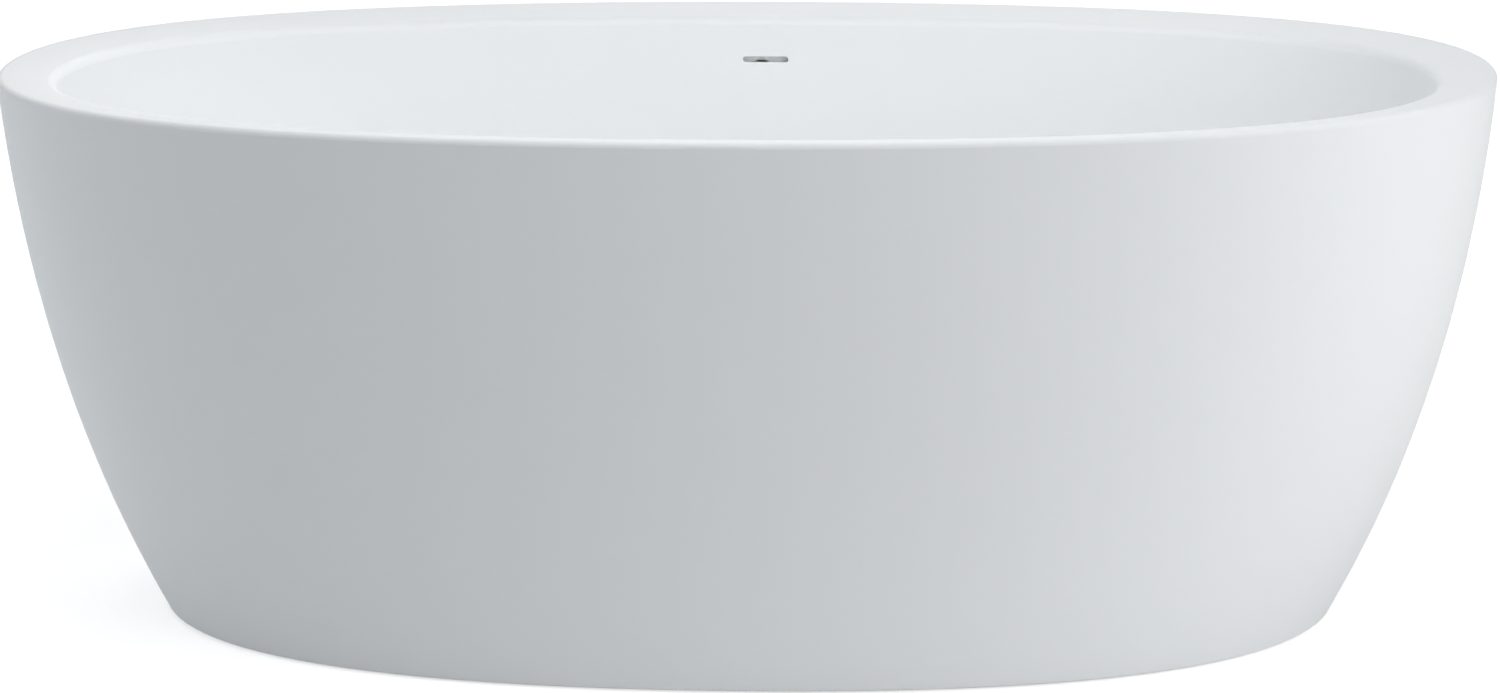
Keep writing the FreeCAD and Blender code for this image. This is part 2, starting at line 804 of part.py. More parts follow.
def make_trap():
    """The low trap cup: dip tube, weir ring and outlet socket; and the nut that holds it up."""
    wall = "trap_wall"
    inside = "trap_width / 2 - trap_wall"
    weir = "weir_width / 2"
    dip = "tube_bore / 2"
    cup = turned("trap_cup", [
        (dip, "dip_level"),
        (dip + " + " + wall, "dip_level"),
        (dip + " + " + wall, "trap_top - trap_wall"),
        (inside, "trap_top - trap_wall"),
        (inside, "trap_bottom + trap_wall"),
        (weir + " + " + wall, "trap_bottom + trap_wall"),
        (weir + " + " + wall, "weir_level"),
        (weir, "weir_level"),
        (weir, "trap_bottom + trap_wall"),
        ("0", "trap_bottom + trap_wall"),
        ("0", "trap_bottom"),
        ("trap_width / 2", "trap_bottom"),
        ("trap_width / 2", "trap_top"),
        ("tube_width / 2", "trap_top"),
        ("tube_width / 2", "trap_mouth"),
        (dip, "trap_mouth"),
    ])
    start = "trap_width / 2 - 2 * trap_wall"
    reach = "outlet_socket_reach - (" + start + ")"
    socket = cylinder("outlet_socket", "socket_width", reach, "x", x=start, z="outlet_level")
    bore = cylinder("outlet_bore", "socket_bore", reach, "x", x=start, z="outlet_level")
    trap = cut("trap_body", fuse("trap_solid", cup, socket), bore)
    mouth = "trap_mouth - (trap_mouth - trap_top) / 2"
    nut = turned("trap_nut", [
        ("tube_width / 2 + 2 * thread_gap", mouth),
        ("union_nut_width / 2", mouth),
        ("union_nut_width / 2", mouth + " + union_nut_height"),
        ("tube_width / 2 + 2 * thread_gap", mouth + " + union_nut_height"),
    ])
    return [trap, nut]


def make_outlet():
    """The outlet pipe with the seal and nut that join it to the trap's socket."""
    tube = "tube_width / 2"
    pipe_out = turned("outlet_pipe", [
        (tube + " - outlet_wall", "outlet_inner_end"),
        (tube, "outlet_inner_end"),
        (tube, "outlet_reach"),
        (tube + " - outlet_wall", "outlet_reach"),
    ], "x", z="outlet_level")
    seal_end = "outlet_socket_reach + outlet_seal_width / 2"
    seal = turned("outlet_seal", [
        (tube, "outlet_socket_reach"),
        ("socket_width / 2", "outlet_socket_reach"),
        ("socket_width / 2", seal_end),
        (tube, seal_end),
    ], "x", z="outlet_level")
    near = "outlet_socket_reach - outlet_nut_cover"
    inside = "socket_width / 2 + thread_gap"
    nut = turned("outlet_nut", [
        (inside, near),
        (inside + " + tube_wall", near),
        (inside + " + tube_wall", seal_end + " + outlet_nut_lip"),
        ("socket_bore / 2", seal_end + " + outlet_nut_lip"),
        ("socket_bore / 2", seal_end),
        (inside, seal_end),
    ], "x", z="outlet_level")
    return [pipe_out, seal, nut]


SIDES = [("left", -1), ("right", 1)]
FACES = [("front", -1), ("back", 1)]


def signed(sign, text):
    """An expression or its negative."""
    return text if sign > 0 else "-(" + text + ")"


def screw_places():
    """The four screws of each rail, as multiples of their pitch along it."""
    return [-1.5, -0.5, 0.5, 1.5]


def make_board():
    """The oval board bonded under the basin's flat floor, with its waste and screw holes."""
    under_edge = basin_outside()[4]
    edge = under_edge.grown(-size("board_margin"), -size("board_margin"), 0)
    board = flat(edge)[0].extrude(Vector(0, 0, -size("board_thickness")))
    holes = [cylinder("board_waste_hole", "board_hole", "under_level")]
    for side, sign in SIDES:
        for number, place in enumerate(screw_places(), start=1):
            holes.append(cylinder(
                "%s_board_screw_hole_%d" % (side, number), "screw_width", "screw_bite",
                x=signed(sign, "rail_x"), y="%s * screw_pitch" % place, z="board_under"))
    return cut("base_board", keep_shape("board_blank", board), *holes)


def make_rail(side, sign):
    """A channel rail, open downwards, with its stud and screw holes."""
    centre = signed(sign, "rail_x")
    outside = box(side + "_rail_outside", "rail_width", "rail_length", "rail_height",
                  x=centre + " - rail_width / 2", y="-rail_length / 2", z="rail_under")
    inside = box(side + "_rail_inside", "rail_width - 2 * rail_wall", "rail_length",
                 "rail_height - rail_wall",
                 x=centre + " - rail_width / 2 + rail_wall", y="-rail_length / 2", z="rail_under")
    holes = []
    for face, face_sign in FACES:
        holes.append(cylinder(
            "%s_%s_rail_stud_hole" % (face, side), "stud_width + 2 * thread_gap", "rail_height",
            x=centre, y=signed(face_sign, "foot_y"), z="rail_under"))
    for number, place in enumerate(screw_places(), start=1):
        holes.append(cylinder(
            "%s_rail_screw_hole_%d" % (side, number), "screw_width + 2 * screw_gap", "rail_height",
            x=centre, y="%s * screw_pitch" % place, z="rail_under"))
    return cut(side + "_rail", outside, inside, *holes)


def make_screws(side, sign):
    """The pan-head screws that hold one rail to the board."""
    screws = []
    for number, place in enumerate(screw_places(), start=1):
        name = "%s_rail_screw_%d" % (side, number)
        at = {"x": signed(sign, "rail_x"), "y": "%s * screw_pitch" % place}
        head = cylinder(name + "_head", "screw_head", "screw_head_height",
                        z="web_under - screw_head_height", **at)
        shank = cylinder(name + "_shank", "screw_width", "rail_wall + screw_bite", z="web_under", **at)
        screws.append(fuse(name, head, shank))
    return group(side + "_rail_screws", screws)


def make_foot(name, **at):
    """A levelling foot: pad and threaded stud with a hexagon for the spanner."""
    neck = "pad_neck / 2"
    socket = "stud_width / 2"
    pad = turned(name + "_foot_pad", [
        ("0", "0"),
        ("pad_width / 2", "0"),
        ("pad_width / 2", "pad_edge"),
        (neck, "pad_height"),
        (socket, "pad_height"),
        (socket, "stud_socket"),
        ("0", "stud_socket"),
    ], **at)
    stud = fuse(
        name + "_foot_stud",
        cylinder(name + "_stud_rod", "stud_width", "stud_top - stud_socket", z="stud_socket", **at),
        hexagon(name + "_stud_hex", "stud_hex", "stud_hex_height", z="stud_hex_level", **at),
    )
    return [pad, stud]


def make_nut(name, level, **at):
    """A hexagon nut whose bore clears the stud."""
    blank = hexagon(name + "_blank", "nut_size", "nut_height", z=level, **at)
    bore = cylinder(name + "_bore", "stud_width + 2 * thread_gap", "nut_height", z=level, **at)
    return cut(name, blank, bore)


def make_support():
    """The board, the rails with their screws, and the four feet with their nuts."""
    parts = [make_board()]
    lock_nuts = []
    rail_nuts = []
    for side, sign in SIDES:
        parts.append(make_rail(side, sign))
        parts.append(make_screws(side, sign))
        for face, face_sign in FACES:
            name = face + "_" + side
            at = {"x": signed(sign, "rail_x"), "y": signed(face_sign, "foot_y")}
            parts += make_foot(name, **at)
            lock_nuts.append(make_nut(name + "_lock_nut", "board_under", **at))
            rail_nuts.append(make_nut(name + "_rail_nut", "web_under - nut_height", **at))
    parts.append(group("lock_nuts", lock_nuts))
    parts.append(group("rail_nuts", rail_nuts))
    return parts


def check(parts):
    """Stop if anything failed to build."""
    for thing in doc.Objects:
        if "Invalid" in thing.State or "Error" in thing.State:
            raise RuntimeError("failed: " + thing.Name)
    for part in parts:
        if part.Shape.isNull() or not part.Shape.isValid():
            raise RuntimeError("bad shape: " + part.Label)


def write(parts):
    """Write each part to its own STEP file."""
    os.makedirs("parts", exist_ok=True)
    for part in parts:
        part.Shape.exportStep("parts/" + part.Label + ".step")


fill_sheet()
parts = [make_basin(), keep_shape("outer_skirt", make_skirt()), make_chamber(), make_hose()]
parts += make_clips()
parts.append(make_flange())
parts += make_seals()
parts.append(make_waste_body())
parts += make_plug()
parts += make_trap()
parts += make_outlet()
parts += make_support()
doc.recompute()
check(parts)
write(parts)
for part in parts:
    corners = part.Shape.BoundBox
    print(part.Label, len(part.Shape.Solids), round(part.Shape.Volume / 1000, 1), "cm3",
          [round(value, 1) for value in (corners.XMin, corners.XMax, corners.YMin,
                                         corners.YMax, corners.ZMin, corners.ZMax)])
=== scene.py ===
"""Looks of the freestanding bath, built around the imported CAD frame. Everything is in metres."""
import json
import math

import bpy
from mathutils import Matrix, Vector


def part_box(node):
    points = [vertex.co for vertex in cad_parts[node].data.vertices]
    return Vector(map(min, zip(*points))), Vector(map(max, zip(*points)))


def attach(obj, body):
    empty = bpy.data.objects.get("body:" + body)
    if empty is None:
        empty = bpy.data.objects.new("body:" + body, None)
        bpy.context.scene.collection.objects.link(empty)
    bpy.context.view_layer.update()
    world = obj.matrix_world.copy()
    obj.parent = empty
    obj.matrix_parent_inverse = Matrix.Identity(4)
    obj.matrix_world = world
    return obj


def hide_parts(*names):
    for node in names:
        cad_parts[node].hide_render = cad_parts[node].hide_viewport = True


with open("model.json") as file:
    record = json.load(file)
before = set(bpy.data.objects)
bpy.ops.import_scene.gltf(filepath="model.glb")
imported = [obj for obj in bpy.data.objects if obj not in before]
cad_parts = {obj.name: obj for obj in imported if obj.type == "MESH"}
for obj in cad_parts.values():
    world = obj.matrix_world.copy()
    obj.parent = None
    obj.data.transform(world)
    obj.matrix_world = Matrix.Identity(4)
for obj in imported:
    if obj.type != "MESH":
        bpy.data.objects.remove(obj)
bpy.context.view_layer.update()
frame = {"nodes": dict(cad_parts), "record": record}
NODES = frame["nodes"]
SLOTS = {part["node"]: part["material_slot"] for part in frame["record"]["subparts"]}
BODIES = {node: body for body, nodes in frame["record"]["behaviour"]["bodies"].items()
          for node in nodes}

# Camera ------------------------------------------------------------------------------------

VIEW_CENTRE = Vector((0.0053, 0.0, 0.2725))
VIEW_DISTANCE = 5.5757
VIEW_TURN = 0.0785  # radians from straight on, towards +X
VIEW_RISE = 0.2446  # radians above level
VIEW_ROLL = -0.0106
FOCAL_WIDTHS = 3.4338  # focal length in picture widths
SENSOR_WIDTH = 36.0


def make_camera():
    """The camera at the photograph's viewing angle."""
    camera = bpy.data.cameras.new("camera")
    camera.sensor_width = SENSOR_WIDTH
    camera.lens = FOCAL_WIDTHS * SENSOR_WIDTH
    holder = bpy.data.objects.new("camera", camera)
    bpy.context.scene.collection.objects.link(holder)
    level = math.cos(VIEW_RISE)
    back = Vector((math.sin(VIEW_TURN) * level, -math.cos(VIEW_TURN) * level, math.sin(VIEW_RISE)))
    turn = back.to_track_quat("Z", "Y").to_matrix().to_4x4()
    place = Matrix.Translation(VIEW_CENTRE + back * VIEW_DISTANCE)
    holder.matrix_world = place @ turn @ Matrix.Rotation(VIEW_ROLL, 4, "Z")
    bpy.context.scene.camera = holder


make_camera()

# Materials ---------------------------------------------------------------------------------


class Finish:
    """A node material with its shader, and the few steps that the finishes below share."""

    def __init__(self, name, base_colour, roughness, **sockets):
        """The colour and roughness are those of a plain surface, before any texture.

        sockets are the shader's own, named with underscores for spaces.
        """
        self.material = bpy.data.materials.new(name)
        self.material.use_nodes = True
        self.nodes = self.material.node_tree.nodes
        self.links = self.material.node_tree.links
        self.shader = self.nodes["Principled BSDF"]
        self.shader.inputs["Base Color"].default_value = (*base_colour, 1.0)
        self.shader.inputs["Roughness"].default_value = roughness
        for socket, value in sockets.items():
            self.shader.inputs[socket.replace("_", " ")].default_value = value
        self.place = self.nodes.new("ShaderNodeTexCoord").outputs["Object"]

    def stretched(self, x, y, z):
        """The object's own coordinates, scaled along each axis."""
        mapping = self.nodes.new("ShaderNodeMapping")
        mapping.inputs["Scale"].default_value = (x, y, z)
        self.links.new(self.place, mapping.inputs["Vector"])
        return mapping.outputs["Vector"]

    def noise(self, scale, detail=2.0, place=None):
        """Smooth noise with about this many lumps to a metre."""
        texture = self.nodes.new("ShaderNodeTexNoise")
        texture.inputs["Scale"].default_value = scale
        texture.inputs["Detail"].default_value = detail
        self.links.new(place or self.place, texture.inputs["Vector"])
        return texture.outputs["Fac"]

    def cells(self, scale):
        """A random value for each of many small cells, as zinc crystals have."""
        texture = self.nodes.new("ShaderNodeTexVoronoi")
        texture.inputs["Scale"].default_value = scale
        self.links.new(self.place, texture.inputs["Vector"])
        separate = self.nodes.new("ShaderNodeSeparateColor")
        self.links.new(texture.outputs["Color"], separate.inputs["Color"])
        return separate.outputs["Red"]

    def ridges(self, pitch):
        """Even ridges up the object, one to each pitch; a scale of 1 has a pitch of pi / 10."""
        texture = self.nodes.new("ShaderNodeTexWave")
        texture.bands_direction = "Z"
        texture.inputs["Scale"].default_value = math.pi / 10 / pitch
        self.links.new(self.place, texture.inputs["Vector"])
        return texture.outputs["Fac"]

    def spread(self, value, low, high, start=0.35, end=0.65):
        """A texture's values between start and end, spread over low to high."""
        limits = self.nodes.new("ShaderNodeMapRange")
        for socket, number in (("From Min", start), ("From Max", end),
                               ("To Min", low), ("To Max", high)):
            limits.inputs[socket].default_value = number
        self.links.new(value, limits.inputs["Value"])
        return limits.outputs["Result"]

    def times(self, first, second):
        """The product of two values."""
        product = self.nodes.new("ShaderNodeMath")
        product.operation = "MULTIPLY"
        self.links.new(first, product.inputs[0])
        self.links.new(second, product.inputs[1])
        return product.outputs[0]

    def mixed(self, value, first, second):
        """The colour between two others; either may be another texture's colour."""
        blend = self.nodes.new("ShaderNodeMix")
        blend.data_type = "RGBA"
        self.links.new(value, blend.inputs["Factor"])
        for socket, colour in (("A", first), ("B", second)):
            entry = next(i for i in blend.inputs if i.name == socket and i.type == "RGBA")
            if isinstance(colour, tuple):
                entry.default_value = (*colour, 1.0)
            else:
                self.links.new(colour, entry)
        return next(o for o in blend.outputs if o.type == "RGBA")

    def facing(self, axis):
        """How squarely the surface faces along an axis, from 0 to 1."""
        geometry = self.nodes.new("ShaderNodeNewGeometry")
        parts = self.nodes.new("ShaderNodeSeparateXYZ")
        size = self.nodes.new("ShaderNodeMath")
        size.operation = "ABSOLUTE"
        self.links.new(geometry.outputs["Normal"], parts.inputs["Vector"])
        self.links.new(parts.outputs[axis], size.inputs[0])
        return size.outputs[0]

    def height_of(self, axis):
        """The object's own coordinate along an axis."""
        parts = self.nodes.new("ShaderNodeSeparateXYZ")
        self.links.new(self.place, parts.inputs["Vector"])
        return parts.outputs[axis]

    def colour(self, value):
        """Take the surface's colour from a texture."""
        self.links.new(value, self.shader.inputs["Base Color"])

    def roughness(self, value):
        """Take the surface's roughness from a texture."""
        self.links.new(value, self.shader.inputs["Roughness"])

    def relief(self, value, depth):
        """Bumps of this depth, on top of any that are there."""
        bump = self.nodes.new("ShaderNodeBump")
        bump.inputs["Distance"].default_value = depth
        self.links.new(value, bump.inputs["Height"])
        under = self.shader.inputs["Normal"].links
        if under:
            self.links.new(under[0].from_socket, bump.inputs["Normal"])
        self.links.new(bump.outputs["Normal"], self.shader.inputs["Normal"])


def solid_surface():
    """Matte white mineral cast: a very fine even grain under a dull, silky polish."""
    finish = Finish("solid_surface", (0.885, 0.90, 0.912), 0.7, Specular_IOR_Level=0.2)
    cloud = finish.noise(5.0)
    finish.colour(finish.mixed(cloud, (0.880, 0.895, 0.907), (0.890, 0.905, 0.917)))
    finish.roughness(finish.spread(finish.noise(60.0), 0.66, 0.74))
    finish.relief(finish.noise(700.0, 3.0), 0.00004)
    return finish.material


def grey_plastic():
    """The light grey moulded plastic of the overflow chamber."""
    finish = Finish("grey_plastic", (0.82, 0.83, 0.83), 0.5)
    finish.colour(finish.mixed(finish.noise(30.0), (0.80, 0.81, 0.81), (0.84, 0.85, 0.85)))
    finish.relief(finish.noise(900.0), 0.00005)
    return finish.material


def white_plastic():
    """White moulded plastic: a slight gloss over faint flow marks."""
    finish = Finish("white_plastic", (0.83, 0.83, 0.82), 0.34)
    finish.colour(finish.mixed(finish.noise(14.0), (0.81, 0.81, 0.795), (0.845, 0.845, 0.84)))
    finish.roughness(finish.spread(finish.noise(45.0), 0.28, 0.42))
    finish.relief(finish.noise(110.0), 0.00012)
    return finish.material


def hose_plastic():
    """The softer, duller white plastic of the flexible hose."""
    finish = Finish("hose_plastic", (0.80, 0.80, 0.79), 0.48, Subsurface_Weight=0.1,
                    Subsurface_Scale=0.002)
    finish.colour(finish.mixed(finish.noise(20.0), (0.77, 0.77, 0.755), (0.82, 0.82, 0.81)))
    finish.relief(finish.noise(500.0), 0.00006)
    return finish.material


def stainless():
    """Rolled stainless steel with fine lines along the strip."""
    finish = Finish("stainless", (0.62, 0.63, 0.64), 0.3, Metallic=1.0)
    lines = finish.noise(30.0, 4.0, finish.stretched(2.0, 2.0, 120.0))
    finish.colour(finish.mixed(lines, (0.56, 0.57, 0.58), (0.67, 0.68, 0.69)))
    finish.roughness(finish.spread(lines, 0.22, 0.4))
    finish.relief(lines, 0.00003)
    return finish.material


def chrome():
    """Bright chrome plate with the faintest dulling where water has dried."""
    finish = Finish("chrome", (0.82, 0.83, 0.84), 0.06, Metallic=1.0)
    marks = finish.noise(55.0, 4.0)
    finish.colour(finish.mixed(marks, (0.80, 0.81, 0.82), (0.84, 0.85, 0.86)))
    finish.roughness(finish.spread(marks, 0.04, 0.12, 0.45, 0.75))
    return finish.material


def seal_rubber():
    """Black rubber of the seals, with the fine grain of its mould."""
    finish = Finish("seal_rubber", (0.03, 0.03, 0.033), 0.55)
    finish.colour(finish.mixed(finish.noise(60.0), (0.022, 0.022, 0.025), (0.04, 0.04, 0.043)))
    finish.relief(finish.noise(800.0), 0.00008)
    return finish.material


def foot_rubber():
    """Dull rubber of the pads, greyed by floor dust towards the floor."""
    finish = Finish("foot_rubber", (0.045, 0.045, 0.048), 0.75)
    dust = finish.times(finish.spread(finish.height_of("Z"), 1.0, 0.0, 0.0, 0.012),
                        finish.noise(120.0, 5.0))
    finish.colour(finish.mixed(dust, (0.045, 0.045, 0.048), (0.22, 0.21, 0.20)))
    finish.relief(finish.noise(650.0), 0.0001)
    return finish.material


def galvanised():
    """Zinc-coated steel with its crystals."""
    finish = Finish("galvanised", (0.58, 0.60, 0.62), 0.42, Metallic=1.0)
    crystals = finish.cells(140.0)
    finish.colour(finish.mixed(crystals, (0.50, 0.52, 0.54), (0.66, 0.68, 0.70)))
    finish.roughness(finish.spread(crystals, 0.34, 0.5, 0.0, 1.0))
    finish.relief(finish.noise(260.0, 3.0), 0.00005)
    return finish.material


def plywood():
    """Exterior plywood: long face grain, and the dark and light plies along its edges."""
    finish = Finish("plywood", (0.66, 0.50, 0.32), 0.72)
    grain = finish.noise(9.0, 6.0, finish.stretched(1.0, 14.0, 14.0))
    face = finish.mixed(finish.spread(grain, 0.0, 1.0), (0.50, 0.34, 0.19), (0.70, 0.54, 0.35))
    plies = finish.mixed(finish.ridges(0.0033), (0.30, 0.19, 0.10), (0.64, 0.48, 0.30))
    finish.colour(finish.mixed(finish.spread(finish.facing("Z"), 0.0, 1.0), plies, face))
    finish.roughness(finish.spread(grain, 0.66, 0.8))
    finish.relief(grain, 0.0002)
    return finish.material


FINISHES = {
    "solid_surface": solid_surface(),
    "grey_plastic": grey_plastic(),
    "white_plastic": white_plastic(),
    "hose_plastic": hose_plastic(),
    "stainless": stainless(),
    "chrome": chrome(),
    "seal_rubber": seal_rubber(),
    "foot_rubber": foot_rubber(),
    "galvanised": galvanised(),
    "plywood": plywood(),
}


def dress(thing, material):
    """Give an object one material all over."""
    thing.data.materials.clear()
    thing.data.materials.append(material)


def dress_nodes():
    """Each CAD node in the finish of its material slot."""
    for name, node in NODES.items():
        dress(node, FINISHES[SLOTS[name]])


dress_nodes()

# Detail pieces -----------------------------------------------------------------------------

CRISP = math.radians(35)  # an edge that turns more than this is shaded sharp


def new_piece(name, vertices, faces, node):
    """A smooth mesh that shares a CAD node's body and finish."""
    mesh = bpy.data.meshes.new(name)
    mesh.from_pydata(vertices, [], faces)
    mesh.shade_smooth()
    piece = bpy.data.objects.new(name, mesh)
    bpy.context.scene.collection.objects.link(piece)
    dress(piece, FINISHES[SLOTS[node]])
    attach(piece, BODIES[node])
    return piece


def stand_in(name, vertices, faces, node):
    """A smooth mesh that takes a CAD node's place, body and finish."""
    piece = new_piece(name, vertices, faces, node)
    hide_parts(node)
    return piece


def loops_to_faces(loops, size, closed):
    """Quads between neighbouring loops of points, and from the last to the first if closed."""
    faces = []
    for loop in range(loops if closed else loops - 1):
        here, after = loop * size, (loop + 1) % loops * size
        for step in range(size):
            ahead = (step + 1) % size
            faces.append((here + step, here + ahead, after + ahead, after + step))
    return faces


GRIP_DEPTH = 0.0011
GRIP_COLUMNS = 4  # two on each rib, and two in the groove beside it
NUT_EDGE = 0.0009
NUT_LIP = 0.003
TRAP_NUT_RIBS = 20
OUTLET_NUT_RIBS = 18
TUBE_PLAY = 0.0002  # around the tube that passes through a nut
SOCKET_PLAY = 0.0001  # around the outlet's socket, in its nut


def ribbed_nut(node, axis, bore, lip_bore, ribs):
    """A union nut with grip ribs along its axis, a lip where it is narrower, and soft edges."""
    low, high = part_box(node)
    across = Vector((0, 1, 0)) if axis.x else Vector((1, 0, 0))
    beside = axis.cross(across)
    radius = (high - low).dot(across) / 2
    length = (high - low).dot(axis)
    start = (low + high) / 2 - axis * length / 2
    narrow = radius - GRIP_DEPTH - NUT_EDGE
    profile = [
        (bore, 0.0, False), (narrow, 0.0, False), (radius, NUT_EDGE, True),
        (radius, length - NUT_EDGE, True), (narrow, length, False), (lip_bore, length, False),
    ]
    if lip_bore < bore:
        profile += [(lip_bore, length - NUT_LIP, False), (bore, length - NUT_LIP, False)]
    columns = ribs * GRIP_COLUMNS
    vertices = []
    for out, along, ribbed in profile:
        for column in range(columns):
            groove = GRIP_DEPTH if ribbed and column % GRIP_COLUMNS >= GRIP_COLUMNS / 2 else 0.0
            turn = 2 * math.pi * column / columns
            side = across * math.cos(turn) + beside * math.sin(turn)
            vertices.append(start + axis * along + side * (out - groove))
    piece = stand_in(node + "_ribbed", vertices, loops_to_faces(len(profile), columns, True), node)
    piece.data.set_sharp_from_angle(angle=CRISP)


def make_nuts():
    """The two union nuts of the trap."""
    seal_low, seal_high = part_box("union_seal")
    tube = (seal_high.x - seal_low.x) / 2 + TUBE_PLAY
    ribbed_nut("trap_nut", Vector((0, 0, 1)), tube, tube, TRAP_NUT_RIBS)
    seal_low, seal_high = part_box("outlet_seal")
    socket = (seal_high.y - seal_low.y) / 2 + SOCKET_PLAY
    ribbed_nut("outlet_nut", Vector((1, 0, 0)), socket, tube, OUTLET_NUT_RIBS)


TRAP_LID = 0.049  # the trap's top face, as in the CAD model
SOCKET_START = 0.043  # where the outlet socket begins, as in the CAD model
END_WALL = 0.002
END_BEVEL = 0.0008
END_STEP = 0.0003  # smaller than the socket, so that no two faces share a place
END_REACH = 0.0005  # into the socket and into the lid
END_SIDES = 32


def make_socket_end():
    """The outlet socket's end wall above the trap's lid, which the CAD model leaves open."""
    pipe_low, pipe_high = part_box("outlet_pipe")
    middle = (pipe_low + pipe_high) / 2
    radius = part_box("trap_body")[1].z - middle.z - END_STEP
    front = SOCKET_START - END_WALL
    loops = [(SOCKET_START + END_REACH, radius), (front + END_BEVEL, radius),
             (front, radius - END_BEVEL)]
    size = END_SIDES + 1
    vertices = []
    for x, reach in loops:
        half = math.acos((TRAP_LID - END_REACH - middle.z) / reach)
        for side in range(size):
            turn = half * (2 * side / END_SIDES - 1)
            across, up = reach * math.sin(turn), reach * math.cos(turn)
            vertices.append((x, middle.y + across, middle.z + up))
    faces = loops_to_faces(len(loops), size, False)
    faces += [tuple(reversed(range(size))), tuple(range(len(vertices) - size, len(vertices)))]
    piece = new_piece("trap_socket_end", vertices, faces, "trap_body")
    piece.data.set_sharp_from_angle(angle=CRISP)


STUD_RADIUS = 0.006
STUD_HEXAGON_FROM = 0.014  # above the stud's lower end
STUD_HEXAGON_HEIGHT = 0.008
STUD_HEXAGON_FACE = 0.0082  # radius of the round that the hexagon's bevel leaves
BEVEL_SLOPE = math.tan(math.radians(30))
THREAD_PITCH = 0.00175
THREAD_DEPTH = 0.00107
# One turn's points from its root, as shares of the pitch and of the depth below the crest.
THREAD_SHAPE = ((0.0, 1.0), (0.25, 1.0), (0.5625, 0.0), (0.6875, 0.0))
THREAD_SIDES = 24
THREAD_GAP = 0.0005  # from the hexagon to the first turn


def threaded_stud(node):
    """A foot's stud: plain in its pad, a hexagon for the spanner, and a cut thread above."""
    low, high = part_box(node)
    middle = (low + high) / 2
    flats = high.y - low.y
    root = STUD_RADIUS - THREAD_DEPTH
    hexagon_low = low.z + STUD_HEXAGON_FROM
    hexagon_high = hexagon_low + STUD_HEXAGON_HEIGHT
    thread_low = hexagon_high + THREAD_GAP
    turns = int((high.z - thread_low) / THREAD_PITCH) - 1
    last = turns * THREAD_SIDES
    points = len(THREAD_SHAPE)
    vertices = []

    def add(column, radius, z):
        """One point, on the stud's round at this column and level."""
        turn = 2 * math.pi * column / THREAD_SIDES
        vertices.append((middle.x + radius * math.cos(turn), middle.y + radius * math.sin(turn), z))

    rings = [  # level, largest radius (flats is more than any corner's), slope of the bevel
        (low.z, STUD_RADIUS, 0), (hexagon_low, STUD_RADIUS, 0),
        (hexagon_low, STUD_HEXAGON_FACE, 0), (hexagon_low, flats, BEVEL_SLOPE),
        (hexagon_high, flats, -BEVEL_SLOPE), (hexagon_high, STUD_HEXAGON_FACE, 0),
        (hexagon_high, root, 0),
    ]
    for level, limit, slope in rings:
        for side in range(THREAD_SIDES):
            turn = 2 * math.pi * side / THREAD_SIDES
            reach = flats / 2 / math.cos(turn % (math.pi / 3) - math.pi / 6)
            add(side, min(limit, reach), level + slope * (reach - STUD_HEXAGON_FACE))
    start = len(vertices)
    for column in range(last + THREAD_SIDES + 1):
        for share, depth in THREAD_SHAPE if column <= last else THREAD_SHAPE[:1]:
            add(column, STUD_RADIUS - depth * THREAD_DEPTH,
                thread_low + THREAD_PITCH * (column / THREAD_SIDES + share))
    tip = len(vertices)
    for side in range(THREAD_SIDES):
        add(side, root, high.z)

    def at(column, point):
        """The index of a point of the thread; a turn's last point is the next turn's first."""
        if point == points:
            column, point = column + THREAD_SIDES, 0
        if column > last:
            return start + (last + 1) * points + column - last - 1
        return start + column * points + point

    foot = start - THREAD_SIDES
    faces = [tuple(reversed(range(THREAD_SIDES))), tuple(range(tip, tip + THREAD_SIDES))]
    faces += loops_to_faces(len(rings), THREAD_SIDES, False)
    faces += [(at(column, point), at(column + 1, point),
               at(column + 1, point + 1), at(column, point + 1))
              for column in range(last) for point in range(points)]
    for side in range(THREAD_SIDES):
        ahead = (side + 1) % THREAD_SIDES
        column = last - THREAD_SIDES + side
        faces.append((foot + side, foot + ahead, at(side + 1, 0), at(side, 0)))
        faces.append((at(column, points), at(column + 1, points), tip + ahead, tip + side))
    faces.append((foot, *(at(0, point) for point in range(points + 1))))
    faces.append((*(at(last, point) for point in range(points, -1, -1)), tip))
    piece = stand_in(node + "_threaded", vertices, faces, node)
    piece.data.set_sharp_from_angle(angle=CRISP)


HOSE_RADIUS = 0.015
HOSE_WALL = 0.0023
HOSE_FIRST_RUN = 0.0545  # straight down from the spigot, as in the CAD model
HOSE_CORNER = 0.351  # how far the bend stands from the middle of the bath
HOSE_CUFF = 0.026  # plain end under each clip
HOSE_SIDES = 24
HOSE_RIB_PITCH = 0.0045
HOSE_RIB_DEPTH = 0.0016
HOSE_RIB_STEPS = 6
HOSE_LINE_STEPS = 200


def hose_line():
    """Points along the hose's smooth centre line, from the chamber's spigot to the waste."""
    low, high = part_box("overflow_hose")
    level = low.z + HOSE_RADIUS
    start = Vector((low.x + HOSE_RADIUS, high.y - HOSE_RADIUS, high.z))
    lean = start - Vector((0, 0, HOSE_FIRST_RUN))
    corner = Vector((0, HOSE_CORNER, level))
    end = Vector((0, low.y, level))
    curve = bpy.data.curves.new("hose_line", "CURVE")
    curve.dimensions = "3D"
    spline = curve.splines.new("NURBS")
    route = [start, lean, corner, end]
    spline.points.add(len(route) - 1)
    for point, place in zip(spline.points, route):
        point.co = (*place, 1.0)
    spline.order_u = 3
    spline.use_endpoint_u = True
    spline.resolution_u = HOSE_LINE_STEPS
    holder = bpy.data.objects.new("hose_line", curve)
    points = [vertex.co.copy() for vertex in bpy.data.meshes.new_from_object(holder).vertices]
    bpy.data.objects.remove(holder)
    return points


